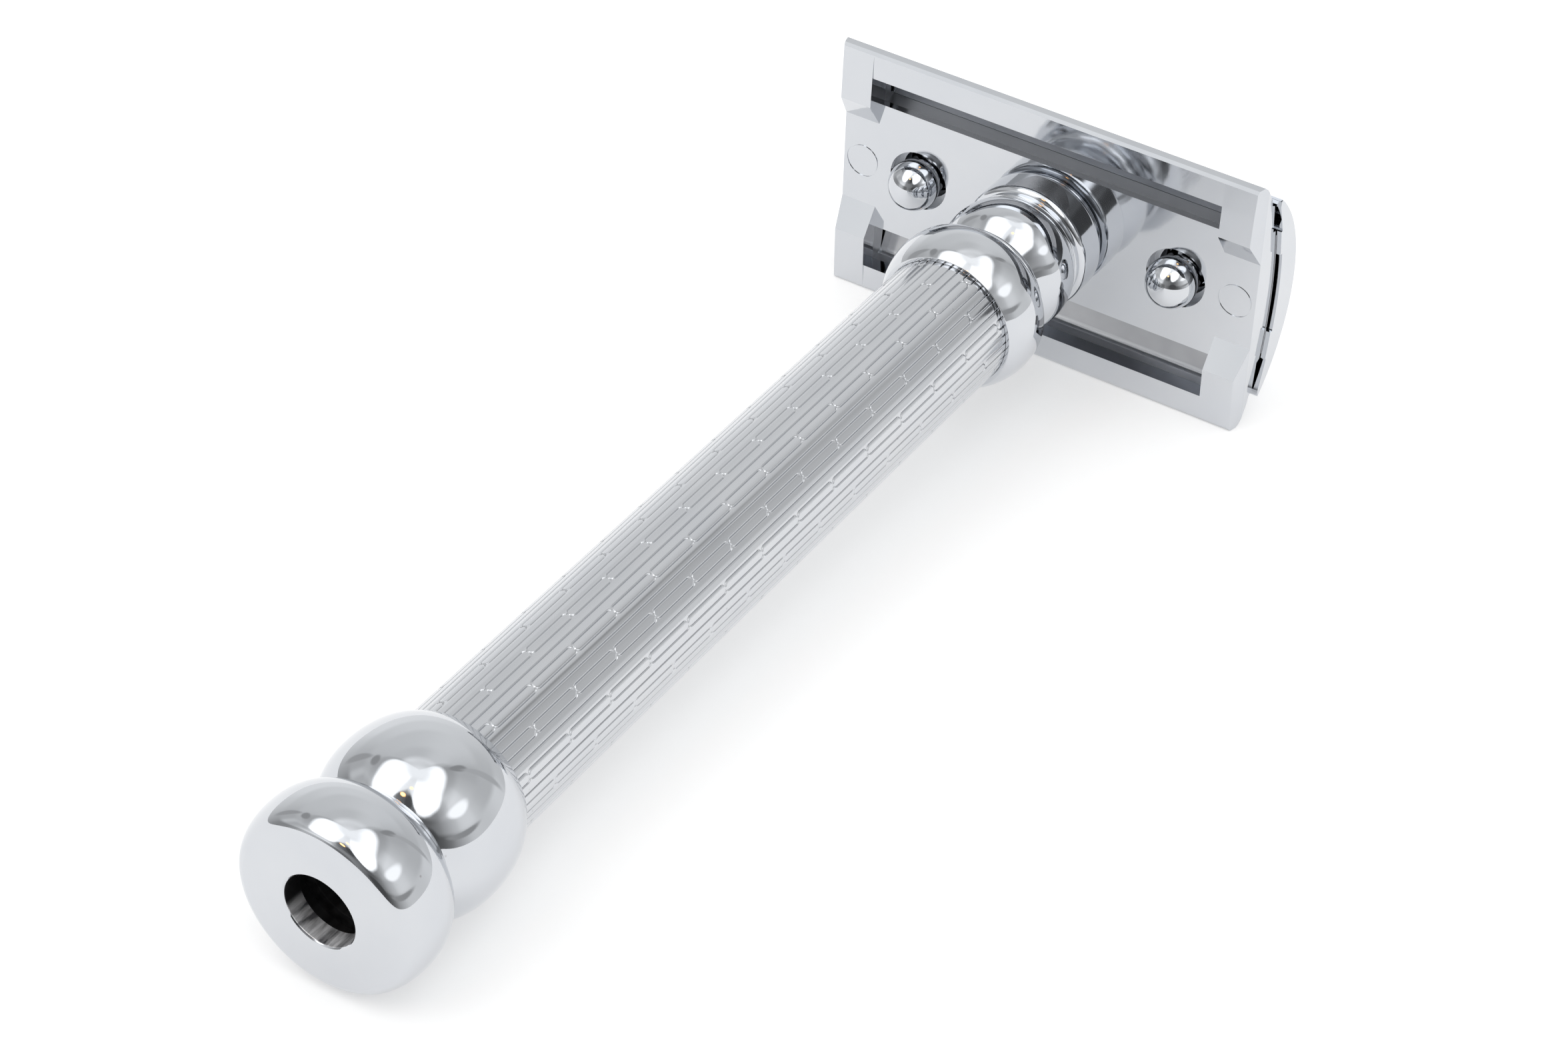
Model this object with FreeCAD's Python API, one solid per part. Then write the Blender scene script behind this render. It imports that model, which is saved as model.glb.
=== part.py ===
import FreeCAD, Part
import math
import os
from FreeCAD import Vector as V

# Double-edge safety razor, lying on its side.
# The razor is drawn along its own handle axis first (x = along the handle
# towards the cap, y = along the head, z = across the head; x = 0 is the
# underside of the base plate), then laid down on the z = 0 surface.

# ---------------------------------------------------------------- dimensions
# base plate
PLATE_HALF_LEN = 21.3        # half length along the head
GUARD_HALF_W = 12.9          # half width over the guard bars
PLATE_TOP = 3.0              # highest point of the blade seat
SLOT_IN = 6.7                # inner edge of the lather slot
SLOT_OUT = 10.25             # outer edge of the lather slot = inner edge of the bar
SLOT_HALF_LEN = 17.75        # half length of the lather slot
LUG_RISE = 1.8               # how far the corner lugs stand proud of the underside
LUG_FOOT = 4.55              # where the lug's sloping wall leaves the plate
LUG_EDGE = 7.2               # where it reaches the lug's face
LUG_DRAFT = 0.45             # taper of the lug's end wall
BAR_FACE = -1.55             # face of the guard bar
PEG_SPAN = 13.34             # half distance between the locating pegs
PEG_HOLE_R = 2.48
PEG_BORE_R = 2.95            # counterbore round the peg's ball end
PEG_BORE_DEPTH = 1.6
STUD_HOLE_R = 2.75
PIN_MARK_R = 1.68            # shallow round marks near the plate's ends
PIN_MARK_Y = 19.3

# blade, bent over the seat
BLADE_HALF_LEN = 21.35
BLADE_HALF_W = 11.0
BLADE_T = 0.10
BLADE_R = 33.5               # bend radius of its middle surface
BLADE_MID = 3.08             # height of its middle surface on the axis
BLADE_BODY_HALF = 18.5       # half length of the cutting edge
BLADE_TAB_HALF_W = 6.4

# cap
CAP_HALF_LEN = 21.8
CAP_HALF_W = 10.65
CAP_TOP = 6.5
CAP_EDGE_X = 1.85
CAP_UNDER = 3.55
CAP_CLAMP_Z = 9.9
CAP_CLAMP_X = 1.67
NUB_IN = 4.2                 # the four nubs that press on the blade's tabs
NUB_OUT = 6.9
NUB_START = 20.2
PEG_R = 2.4
PEG_TIP = -3.15              # how far the ball end of a peg reaches past the plate

# threaded stud and its bush
STUD_R = 2.45
STUD_TOP = 5.3
STUD_END = -9.6
THREAD_PITCH = 0.8
THREAD_DEPTH = 0.42
BUSH_R = 3.5
BUSH_BORE_R = 2.5
BUSH_START = -0.35
BUSH_END = -12.0

# handle
SPIGOT_R = 4.4               # the spigots that the tube and the collar sit on
TUBE_R = 6.15
TUBE_START = -17.0
TUBE_END = -89.6
TUBE_GROOVES = 48
TUBE_GROOVE_DEPTH = 0.16
COLLAR_RIM = -17.65
BALL_RIM = -89.1
KNOB_JOINT = -98.75
KNOB_END = -106.1
KNOB_R = 8.4
KNOB_R_AT = -102.8
KNOB_BORE_R = 3.2
KNOB_WALL = 1.9
KNOB_CAVITY_R = 4.8
BALL_BORE_R = 3.6            # the ball is hollow, so the knob's hole drains the grip


# ---------------------------------------------------------------- helpers
def poly_face(points):
    """Closed face in the xz plane from (x, z) points."""
    pts = [V(x, 0, z) for x, z in points]
    return Part.Face(Part.makePolygon(pts + [pts[0]]))


def wire_face(edges):
    return Part.Face(Part.Wire(Part.__sortEdges__(edges)))


def along_head(face, y0, y1):
    """Extrude a face of the xz plane along the head from y0 to y1."""
    f = face.copy()
    f.translate(V(0, y0, 0))
    return f.extrude(V(0, y1 - y0, 0))


def box(x0, x1, y0, y1, z0, z1):
    return Part.makeBox(x1 - x0, y1 - y0, z1 - z0, V(x0, y0, z0))


def rod(r, x0, x1, y=0.0, z=0.0):
    return Part.makeCylinder(r, abs(x1 - x0), V(min(x0, x1), y, z), V(1, 0, 0))


def line(a, b):
    return Part.makeLine(V(a[0], 0, a[1]), V(b[0], 0, b[1]))


def arc3(a, m, b):
    return Part.Arc(V(a[0], 0, a[1]), V(m[0], 0, m[1]), V(b[0], 0, b[1])).toShape()


def spline(points, t0=None, t1=None):
    c = Part.BSplineCurve()
    pts = [V(x, 0, r) for x, r in points]
    if t0 is not None:
        c.interpolate(Points=pts, InitialTangent=V(t0[0], 0, t0[1]), FinalTangent=V(t1[0], 0, t1[1]))
    else:
        c.interpolate(Points=pts)
    return c.toShape()


def turned(edges):
    """Solid of revolution about the handle axis from a closed profile."""
    return wire_face(edges).revolve(V(0, 0, 0), V(1, 0, 0), 360)


def turned_poly(points):
    return poly_face(points).revolve(V(0, 0, 0), V(1, 0, 0), 360)


def arc_x(radius, top, z):
    """x of an arc of this radius whose crown is at x = top on the axis."""
    return top - (radius - math.sqrt(radius * radius - z * z))


def solid_of(shape):
    shape = shape.removeSplitter()
    solids = shape.Solids
    return solids[0] if len(solids) == 1 else Part.makeCompound(solids)


seat_r = BLADE_R - (BLADE_MID - PLATE_TOP)          # same centre as the blade
blade_centre = BLADE_MID - BLADE_R


# ---------------------------------------------------------------- base plate
def seat_face(half):
    """Middle of the plate: flat underside, crowned seat."""
    xe = arc_x(seat_r, PLATE_TOP, half)
    return wire_face([
        line((0, -half), (xe, -half)),
        arc3((xe, -half), (PLATE_TOP, 0), (xe, half)),
        line((xe, half), (0, half)),
        line((0, half), (0, -half)),
    ])


def bar_points(s):
    return [(BAR_FACE - 0.05, s * SLOT_OUT), (BAR_FACE, s * (GUARD_HALF_W - 0.3)),
            (BAR_FACE + 0.2, s * GUARD_HALF_W), (-0.6, s * GUARD_HALF_W),
            (-0.25, s * (GUARD_HALF_W - 0.3)), (0.8, s * 10.95), (0.95, s * SLOT_OUT)]


def end_points():
    half = [(PLATE_TOP - 0.0, 0.0), (arc_x(seat_r, PLATE_TOP, 2.2), 2.2), (arc_x(seat_r, PLATE_TOP, 4.2), 4.2),
            (arc_x(seat_r, PLATE_TOP, 6.9), 6.9), (1.82, 7.05), (1.46, 10.0), (0.95, SLOT_OUT + 0.05),
            (0.8, 10.95), (-0.25, GUARD_HALF_W - 0.3), (-0.6, GUARD_HALF_W), (BAR_FACE + 0.2, GUARD_HALF_W),
            (BAR_FACE, GUARD_HALF_W - 0.3), (-LUG_RISE + 0.1, SLOT_OUT), (-LUG_RISE, LUG_EDGE), (0, LUG_FOOT)]
    return half + [(x, -z) for x, z in reversed(half[1:])]


def make_base_plate():
    middle = along_head(seat_face(SLOT_IN), -PLATE_HALF_LEN, PLATE_HALF_LEN)
    body = middle
    for s in (1, -1):
        body = body.fuse(along_head(poly_face(bar_points(s)), -PLATE_HALF_LEN, PLATE_HALF_LEN))
    end = poly_face(end_points())
    body = body.fuse(along_head(end, SLOT_HALF_LEN, PLATE_HALF_LEN))
    body = body.fuse(along_head(end, -PLATE_HALF_LEN, -SLOT_HALF_LEN))
    # taper of the lugs' end walls, below the plate's own underside
    for e in (1, -1):
        pts = [V(-LUG_RISE - 0.5, e * (PLATE_HALF_LEN - LUG_DRAFT - 0.125), 0), V(0.0, e * PLATE_HALF_LEN, 0),
               V(0.0, e * (PLATE_HALF_LEN + 1), 0), V(-LUG_RISE - 0.5, e * (PLATE_HALF_LEN + 1), 0)]
        wedge = Part.Face(Part.makePolygon(pts + [pts[0]])).extrude(V(0, 0, 2 * GUARD_HALF_W + 2))
        wedge.translate(V(0, 0, -GUARD_HALF_W - 1))
        body = body.cut(wedge)
    body = body.cut(rod(STUD_HOLE_R, -3, PLATE_TOP + 1))
    for e in (1, -1):
        body = body.cut(rod(PEG_HOLE_R, -3, PLATE_TOP + 1, y=e * PEG_SPAN))
        body = body.cut(rod(PEG_BORE_R, -0.5, PEG_BORE_DEPTH, y=e * PEG_SPAN))
        mark = rod(PIN_MARK_R, -0.1, 0.06, y=e * PIN_MARK_Y).cut(rod(PIN_MARK_R - 0.12, -0.2, 0.2, y=e * PIN_MARK_Y))
        body = body.cut(mark)
    return solid_of(body)


# ---------------------------------------------------------------- blade
def make_blade():
    half_w = BLADE_R * math.sin(BLADE_HALF_W / BLADE_R)
    outline = Part.makeBox(12, 2 * BLADE_BODY_HALF, 2 * half_w, V(-4, -BLADE_BODY_HALF, -half_w))
    tabs = Part.makeBox(12, 2 * BLADE_HALF_LEN, 2 * BLADE_TAB_HALF_W, V(-4, -BLADE_HALF_LEN, -BLADE_TAB_HALF_W))
    plan = outline.fuse(tabs)
    shell = Part.makeCylinder(BLADE_R + BLADE_T / 2, 60, V(blade_centre, -30, 0), V(0, 1, 0)).cut(
        Part.makeCylinder(BLADE_R - BLADE_T / 2, 60, V(blade_centre, -30, 0), V(0, 1, 0)))
    blade = shell.common(plan)
    holes = rod(2.9, -6, 10)
    holes = holes.fuse(box(-6, 10, -18.0, 18.0, -0.85, 0.85))
    for e in (1, -1):
        holes = holes.fuse(rod(2.6, -6, 10, y=e * PEG_SPAN))
    return solid_of(blade.cut(holes))


# ---------------------------------------------------------------- cap
def make_cap():
    outer = arc3((CAP_EDGE_X, -CAP_HALF_W), (CAP_TOP, 0), (CAP_EDGE_X, CAP_HALF_W))
    under = arc3((CAP_CLAMP_X, -CAP_CLAMP_Z), (CAP_UNDER, 0), (CAP_CLAMP_X, CAP_CLAMP_Z))
    lip = (CAP_CLAMP_X + 0.06, CAP_HALF_W - 0.2)
    face = wire_face([outer, under,
                      line((CAP_EDGE_X, CAP_HALF_W), lip), line(lip, (CAP_CLAMP_X, CAP_CLAMP_Z)),
                      line((CAP_EDGE_X, -CAP_HALF_W), (lip[0], -lip[1])),
                      line((lip[0], -lip[1]), (CAP_CLAMP_X, -CAP_CLAMP_Z))])
    cap = along_head(face, -CAP_HALF_LEN, CAP_HALF_LEN)
    # four nubs that press the blade's tabs onto the seat
    clamp_r = BLADE_R + BLADE_T / 2 + 0.03
    dome = along_head(wire_face([outer, line((CAP_EDGE_X, -CAP_HALF_W), (CAP_EDGE_X, CAP_HALF_W))]),
                      -CAP_HALF_LEN, CAP_HALF_LEN)
    below = Part.makeCylinder(clamp_r, 60, V(blade_centre, -30, 0), V(0, 1, 0))
    for e in (1, -1):
        for s in (1, -1):
            y0, y1 = sorted((e * NUB_START, e * CAP_HALF_LEN))
            z0, z1 = sorted((s * NUB_IN, s * NUB_OUT))
            nub = box(0, CAP_TOP, y0, y1, z0, z1).common(dome).cut(below)
            cap = cap.fuse(nub)
    # seats of the stud and of the two pegs
    cap = cap.cut(rod(STUD_R, 0, STUD_TOP))
    for e in (1, -1):
        cap = cap.cut(rod(PEG_R, 0, 5.0, y=e * PEG_SPAN))
    return solid_of(cap)


def make_pegs():
    pegs = []
    for e in (1, -1):
        ball = Part.makeSphere(PEG_R, V(PEG_TIP + PEG_R, e * PEG_SPAN, 0))
        peg = rod(PEG_R, PEG_TIP + PEG_R, 5.0, y=e * PEG_SPAN).fuse(ball)
        pegs.append(solid_of(peg))
    return Part.makeCompound(pegs)


def make_stud():
    """Plain shank in the cap, then thread crests and roots at the real pitch."""
    pts = [(STUD_TOP, 0), (STUD_TOP, STUD_R), (CAP_UNDER - 0.3, STUD_R)]
    x = CAP_UNDER - 0.3 - 0.45
    root = STUD_R - THREAD_DEPTH
    pts.append((x + 0.2, root))
    while x > STUD_END + 1.0:
        pts += [(x - 0.30, STUD_R), (x - 0.40, STUD_R), (x - 0.70, root), (x - THREAD_PITCH, root)]
        x -= THREAD_PITCH
    pts += [(STUD_END + 0.3, root), (STUD_END, root - 0.35), (STUD_END, 0)]
    return solid_of(turned_poly(pts))


# ---------------------------------------------------------------- handle
def make_bush():
    return solid_of(rod(BUSH_R, BUSH_END, BUSH_START).cut(rod(BUSH_BORE_R, BUSH_END - 1, BUSH_START + 1)))


def make_neck():
    face_x = -0.02
    e = [line((face_x, 0), (face_x, 5.45)),
         line((face_x, 5.45), (-0.35, 5.45)),
         arc3((-0.35, 5.45), (-0.6, 5.95), (-1.1, 6.15)),
         line((-1.1, 6.15), (-3.25, 6.15)),
         arc3((-3.25, 6.15), (-3.75, 5.98), (-3.95, 5.55)),
         line((-3.95, 5.55), (-4.05, 5.35)),
         spline([(-4.05, 5.35), (-5.3, 6.0), (-6.9, 6.3), (-8.5, 6.0), (-9.9, 5.05), (-10.45, 4.6)]),
         line((-10.45, 4.6), (-10.75, 4.6)),
         line((-10.75, 4.6), (-10.75, SPIGOT_R)),
         line((-10.75, SPIGOT_R), (-23.6, SPIGOT_R)),
         line((-23.6, SPIGOT_R), (-24.0, SPIGOT_R - 0.4)),
         line((-24.0, SPIGOT_R - 0.4), (-24.0, 0)),
         line((-24.0, 0), (face_x, 0))]
    neck = turned(e)
    neck = neck.cut(rod(BUSH_R, BUSH_END, 1)).cut(rod(BUSH_BORE_R + 0.2, BUSH_END - 3, 1))
    return solid_of(neck)


def make_collar():
    e = [line((-10.75, SPIGOT_R), (-10.75, 5.35)),
         arc3((-10.75, 5.35), (-11.2, 6.0), (-11.65, 5.75)),
         line((-11.65, 5.75), (-11.85, 5.55)),
         line((-11.85, 5.55), (-12.05, 5.8)),
         line((-12.05, 5.8), (-12.15, 6.45)),
         spline([(-12.15, 6.45), (-12.5, 7.0), (-13.5, 7.42), (-14.6, 7.5), (-15.9, 7.3), (-17.0, 6.9), (COLLAR_RIM, 6.5)]),
         line((COLLAR_RIM, 6.5), (COLLAR_RIM, TUBE_R)),
         line((COLLAR_RIM, TUBE_R), (TUBE_START, TUBE_R)),
         line((TUBE_START, TUBE_R), (TUBE_START, SPIGOT_R)),
         line((TUBE_START, SPIGOT_R), (-10.75, SPIGOT_R))]
    return solid_of(turned(e))


def make_tube():
    """Tube with fine lengthwise grooves between two plain seats."""
    n = TUBE_GROOVES
    pts = []
    for i in range(n):
        a = 2 * math.pi * i / n
        w = 2 * math.pi / n
        for f, r in ((-0.40, TUBE_R), (0.0, TUBE_R), (0.40, TUBE_R), (0.5, TUBE_R - TUBE_GROOVE_DEPTH)):
            pts.append(V(0, r * math.cos(a + f * w), r * math.sin(a + f * w)))
    wire = Part.makePolygon(pts + [pts[0]])
    grip = Part.Face(wire)
    grip.translate(V(BALL_RIM, 0, 0))
    grip = grip.extrude(V(COLLAR_RIM - BALL_RIM, 0, 0))
    seat_r2 = TUBE_R - TUBE_GROOVE_DEPTH
    tube = grip.fuse(rod(seat_r2, TUBE_END, BALL_RIM + 0.5)).fuse(rod(seat_r2, COLLAR_RIM - 0.5, TUBE_START))
    tube = tube.cut(rod(SPIGOT_R, TUBE_END - 1, TUBE_START + 1))
    return solid_of(tube)


def make_ball():
    e = [line((BALL_RIM, TUBE_R), (BALL_RIM, 6.4)),
         spline([(BALL_RIM, 6.4), (-90.4, 7.2), (-92.1, 7.76), (-94.0, 7.95), (-95.8, 7.78), (-97.3, 7.25),
                 (-98.3, 6.6), (KNOB_JOINT, 6.2)]),
         line((KNOB_JOINT, 6.2), (KNOB_JOINT, KNOB_CAVITY_R)),
         line((KNOB_JOINT, KNOB_CAVITY_R), (-102.4, KNOB_CAVITY_R)),
         line((-102.4, KNOB_CAVITY_R), (-102.4, BALL_BORE_R)),
         line((-102.4, BALL_BORE_R), (-78.0, BALL_BORE_R)),
         line((-78.0, BALL_BORE_R), (-78.0, SPIGOT_R - 0.4)),
         line((-78.0, SPIGOT_R - 0.4), (-78.4, SPIGOT_R)),
         line((-78.4, SPIGOT_R), (TUBE_END, SPIGOT_R)),
         line((TUBE_END, SPIGOT_R), (TUBE_END, TUBE_R)),
         line((TUBE_END, TUBE_R), (BALL_RIM, TUBE_R))]
    return solid_of(turned(e))


def make_knob():
    inner = KNOB_END + KNOB_WALL
    e = [line((KNOB_JOINT, KNOB_CAVITY_R), (KNOB_JOINT, 6.2)),
         spline([(KNOB_JOINT, 6.2), (-99.15, 6.95), (-99.9, 7.62), (-101.2, 8.2), (KNOB_R_AT, KNOB_R),
                 (-104.2, 8.27), (-105.3, 7.9), (-105.9, 7.4), (KNOB_END, 6.95)]),
         line((KNOB_END, 6.95), (KNOB_END, KNOB_BORE_R + 0.15)),
         line((KNOB_END, KNOB_BORE_R + 0.15), (KNOB_END + 0.15, KNOB_BORE_R)),
         line((KNOB_END + 0.15, KNOB_BORE_R), (inner, KNOB_BORE_R)),
         line((inner, KNOB_BORE_R), (inner, KNOB_CAVITY_R)),
         line((inner, KNOB_CAVITY_R), (KNOB_JOINT, KNOB_CAVITY_R))]
    return solid_of(turned(e))


# ---------------------------------------------------------------- lay it down
# The razor rests on the rim of the knob and on the lower guard bar.
tilt = math.atan2(GUARD_HALF_W - KNOB_R, (BAR_FACE + 0.2) - KNOB_R_AT)


def placed(shape, shift_x=0.0, shift_z=0.0):
    s = shape.copy()
    s.rotate(V(0, 0, 0), V(0, 1, 0), -math.degrees(tilt))
    s.translate(V(shift_x, 0, shift_z))
    return s


def main():
    os.makedirs("parts", exist_ok=True)
    nodes = {
        "top_cap": make_cap(),
        "locating_pegs": make_pegs(),
        "threaded_stud": make_stud(),
        "razor_blade": make_blade(),
        "base_plate": make_base_plate(),
        "neck_fitting": make_neck(),
        "thread_bush": make_bush(),
        "collar_ring": make_collar(),
        "grip_tube": make_tube(),
        "pommel_ball": make_ball(),
        "end_knob": make_knob(),
    }
    laid = [placed(s) for s in nodes.values()]
    bb = Part.makeCompound(laid).optimalBoundingBox(False)
    shift_x = -(bb.XMin + bb.XMax) / 2
    shift_z = -bb.ZMin
    print("tilt_deg %.5f shift_x %.5f shift_z %.5f size %.3f %.3f %.3f" % (
        math.degrees(tilt), shift_x, shift_z, bb.XLength, bb.YLength, bb.ZLength))
    for name, s in nodes.items():
        out = placed(s, shift_x, shift_z)
        print("%-14s solids %d valid %s volume %.1f" % (name, len(out.Solids), out.isValid(), out.Volume))
        out.exportStep("parts/%s.step" % name)


main()
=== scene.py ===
import math

import bmesh
import bpy
import numpy as np
from mathutils import Matrix, Vector


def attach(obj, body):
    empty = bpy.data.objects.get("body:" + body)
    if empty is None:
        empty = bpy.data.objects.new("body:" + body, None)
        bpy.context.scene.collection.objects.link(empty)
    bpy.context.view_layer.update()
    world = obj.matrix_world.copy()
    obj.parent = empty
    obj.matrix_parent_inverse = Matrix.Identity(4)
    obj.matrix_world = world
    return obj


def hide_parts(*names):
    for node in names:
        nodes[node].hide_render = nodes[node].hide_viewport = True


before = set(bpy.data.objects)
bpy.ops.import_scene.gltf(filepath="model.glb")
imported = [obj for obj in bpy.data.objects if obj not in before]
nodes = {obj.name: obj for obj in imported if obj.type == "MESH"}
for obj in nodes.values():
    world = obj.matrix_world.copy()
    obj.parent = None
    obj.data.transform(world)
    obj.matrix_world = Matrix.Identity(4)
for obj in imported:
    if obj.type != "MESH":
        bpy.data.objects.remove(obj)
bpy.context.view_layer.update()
scene = bpy.context.scene

# ------------------------------------------------------------------ the razor's own frame
# Millimetres in the razor's frame: x along the handle towards the cap (0 at the
# underside of the base plate), y along the head, z across the head.
TILT = math.atan2(12.9 - 8.4, (-1.55 + 0.2) + 102.8)
AXIS_X, AXIS_Z = 49.89794, 12.95552
CT, ST = math.cos(TILT), math.sin(TILT)
LAY = Matrix(((CT, 0, -ST, AXIS_X), (0, 1, 0, 0), (ST, 0, CT, AXIS_Z), (0, 0, 0, 1)))
MM = 0.001


def lay(points):
    """Razor frame in millimetres to the row frame in metres."""
    p = np.asarray(points, float).reshape(-1, 3)
    out = np.empty_like(p)
    out[:, 0] = (p[:, 0] * CT - p[:, 2] * ST + AXIS_X) * MM
    out[:, 1] = p[:, 1] * MM
    out[:, 2] = (p[:, 0] * ST + p[:, 2] * CT + AXIS_Z) * MM
    return out


# ------------------------------------------------------------------ profile helpers
def arc3(a, m, b, n=14):
    """Points of the circle through a, m and b, from a to b."""
    (ax, ay), (mx, my), (bx, by) = a, m, b
    d = 2 * (ax * (my - by) + mx * (by - ay) + bx * (ay - my))
    ux = ((ax * ax + ay * ay) * (my - by) + (mx * mx + my * my) * (by - ay) + (bx * bx + by * by) * (ay - my)) / d
    uy = ((ax * ax + ay * ay) * (bx - mx) + (mx * mx + my * my) * (ax - bx) + (bx * bx + by * by) * (mx - ax)) / d
    r = math.hypot(ax - ux, ay - uy)
    t0, tm, t1 = (math.atan2(y - uy, x - ux) for x, y in (a, m, b))
    two = 2 * math.pi
    up = (t1 - t0) % two
    if (tm - t0) % two > up:
        up -= two
    return [(ux + r * math.cos(t0 + up * i / n), uy + r * math.sin(t0 + up * i / n)) for i in range(n + 1)]


def curve(points, per=10):
    """Natural cubic spline through the points, chord-length spaced."""
    p = np.asarray(points, float)
    t = np.concatenate([[0], np.cumsum(np.hypot(*np.diff(p, axis=0).T))])
    n, h = len(p), np.diff(t)
    a = np.zeros((n, n))
    b = np.zeros((n, 2))
    a[0, 0] = a[-1, -1] = 1
    for i in range(1, n - 1):
        a[i, i - 1], a[i, i], a[i, i + 1] = h[i - 1], 2 * (h[i - 1] + h[i]), h[i]
        b[i] = 6 * ((p[i + 1] - p[i]) / h[i] - (p[i] - p[i - 1]) / h[i - 1])
    m = np.linalg.solve(a, b)
    out = []
    for i in range(n - 1):
        for k in range(per + (i == n - 2)):
            u = k / per * h[i]
            v = h[i] - u
            out.append(tuple((m[i] * v ** 3 + m[i + 1] * u ** 3) / (6 * h[i])
                             + (p[i] / h[i] - m[i] * h[i] / 6) * v + (p[i + 1] / h[i] - m[i + 1] * h[i] / 6) * u))
    return out


def joined(*parts):
    """One list of points from single points and lists of points, repeats dropped."""
    out = []
    for part in parts:
        for p in ([part] if isinstance(part, tuple) else part):
            if not out or math.hypot(p[0] - out[-1][0], p[1] - out[-1][1]) > 1e-6:
                out.append((float(p[0]), float(p[1])))
    return out


def eased(points, d=0.05, turn=24, n=4, closed=True):
    """The same profile with every sharp corner eased over the distance d."""
    p = [np.array(q, float) for q in points]
    if closed and np.hypot(*(p[0] - p[-1])) < 1e-6:
        p.pop()
    k = len(p)
    out = []
    for i in range(k):
        if not closed and i in (0, k - 1):
            out.append(tuple(p[i]))
            continue
        a, b, c = p[i - 1], p[i], p[(i + 1) % k]
        u, v = b - a, c - b
        lu, lv = np.hypot(*u), np.hypot(*v)
        ang = math.degrees(math.acos(max(-1, min(1, float(u @ v) / (lu * lv)))))
        if ang < turn or (abs(b[1]) < 1e-6):
            out.append(tuple(b))
            continue
        da, dc = min(d, 0.42 * lu), min(d, 0.42 * lv)
        s, e = b - u / lu * da, b + v / lv * dc
        for j in range(n + 1):
            t = j / n
            out.append(tuple((1 - t) ** 2 * s + 2 * t * (1 - t) * b + t * t * e))
    return out


# ------------------------------------------------------------------ mesh helpers
def mesh_object(name, verts_mm, faces, sharp=None, smooth=True):
    me = bpy.data.meshes.new(name)
    me.from_pydata(lay(verts_mm).tolist(), [], faces)
    bm = bmesh.new()
    bm.from_mesh(me)
    bmesh.ops.recalc_face_normals(bm, faces=bm.faces)
    bm.to_mesh(me)
    bm.free()
    if smooth:
        me.shade_smooth()
        if sharp is not None:
            me.set_sharp_from_angle(angle=math.radians(sharp))
    me.update()
    ob = bpy.data.objects.new(name, me)
    scene.collection.objects.link(ob)
    return ob


def turned(profile, segs, y0=0.0, wobble=None):
    """Vertices and faces of a closed profile turned about the handle axis."""
    verts, faces, rings = [], [], []
    cs = [(math.cos(2 * math.pi * j / segs), math.sin(2 * math.pi * j / segs)) for j in range(segs)]
    for x, r in profile:
        if r < 1e-6:
            rings.append([len(verts)])
            verts.append((x, y0, 0.0))
        else:
            rings.append(list(range(len(verts), len(verts) + segs)))
            verts += [(x, y0 + r * c, r * s) for c, s in cs]
    k = len(rings)
    for i in range(k):
        a, b = rings[i], rings[(i + 1) % k]
        if len(a) == 1 and len(b) == 1:
            continue
        for j in range(segs):
            j2 = (j + 1) % segs
            if len(a) == 1:
                faces.append((a[0], b[j], b[j2]))
            elif len(b) == 1:
                faces.append((a[j], b[0], a[j2]))
            else:
                faces.append((a[j], b[j], b[j2], a[j2]))
    return verts, faces


def lathe(name, profile, segs=160, ease=0.05, sharp=40):
    verts, faces = turned(eased(profile, ease), segs)
    return mesh_object(name, verts, faces, sharp)


# ------------------------------------------------------------------ materials
def node_tree(name):
    m = bpy.data.materials.new(name)
    m.use_nodes = True
    nt = m.node_tree
    nt.nodes.clear()
    return m, nt, nt.nodes, nt.links


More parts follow.
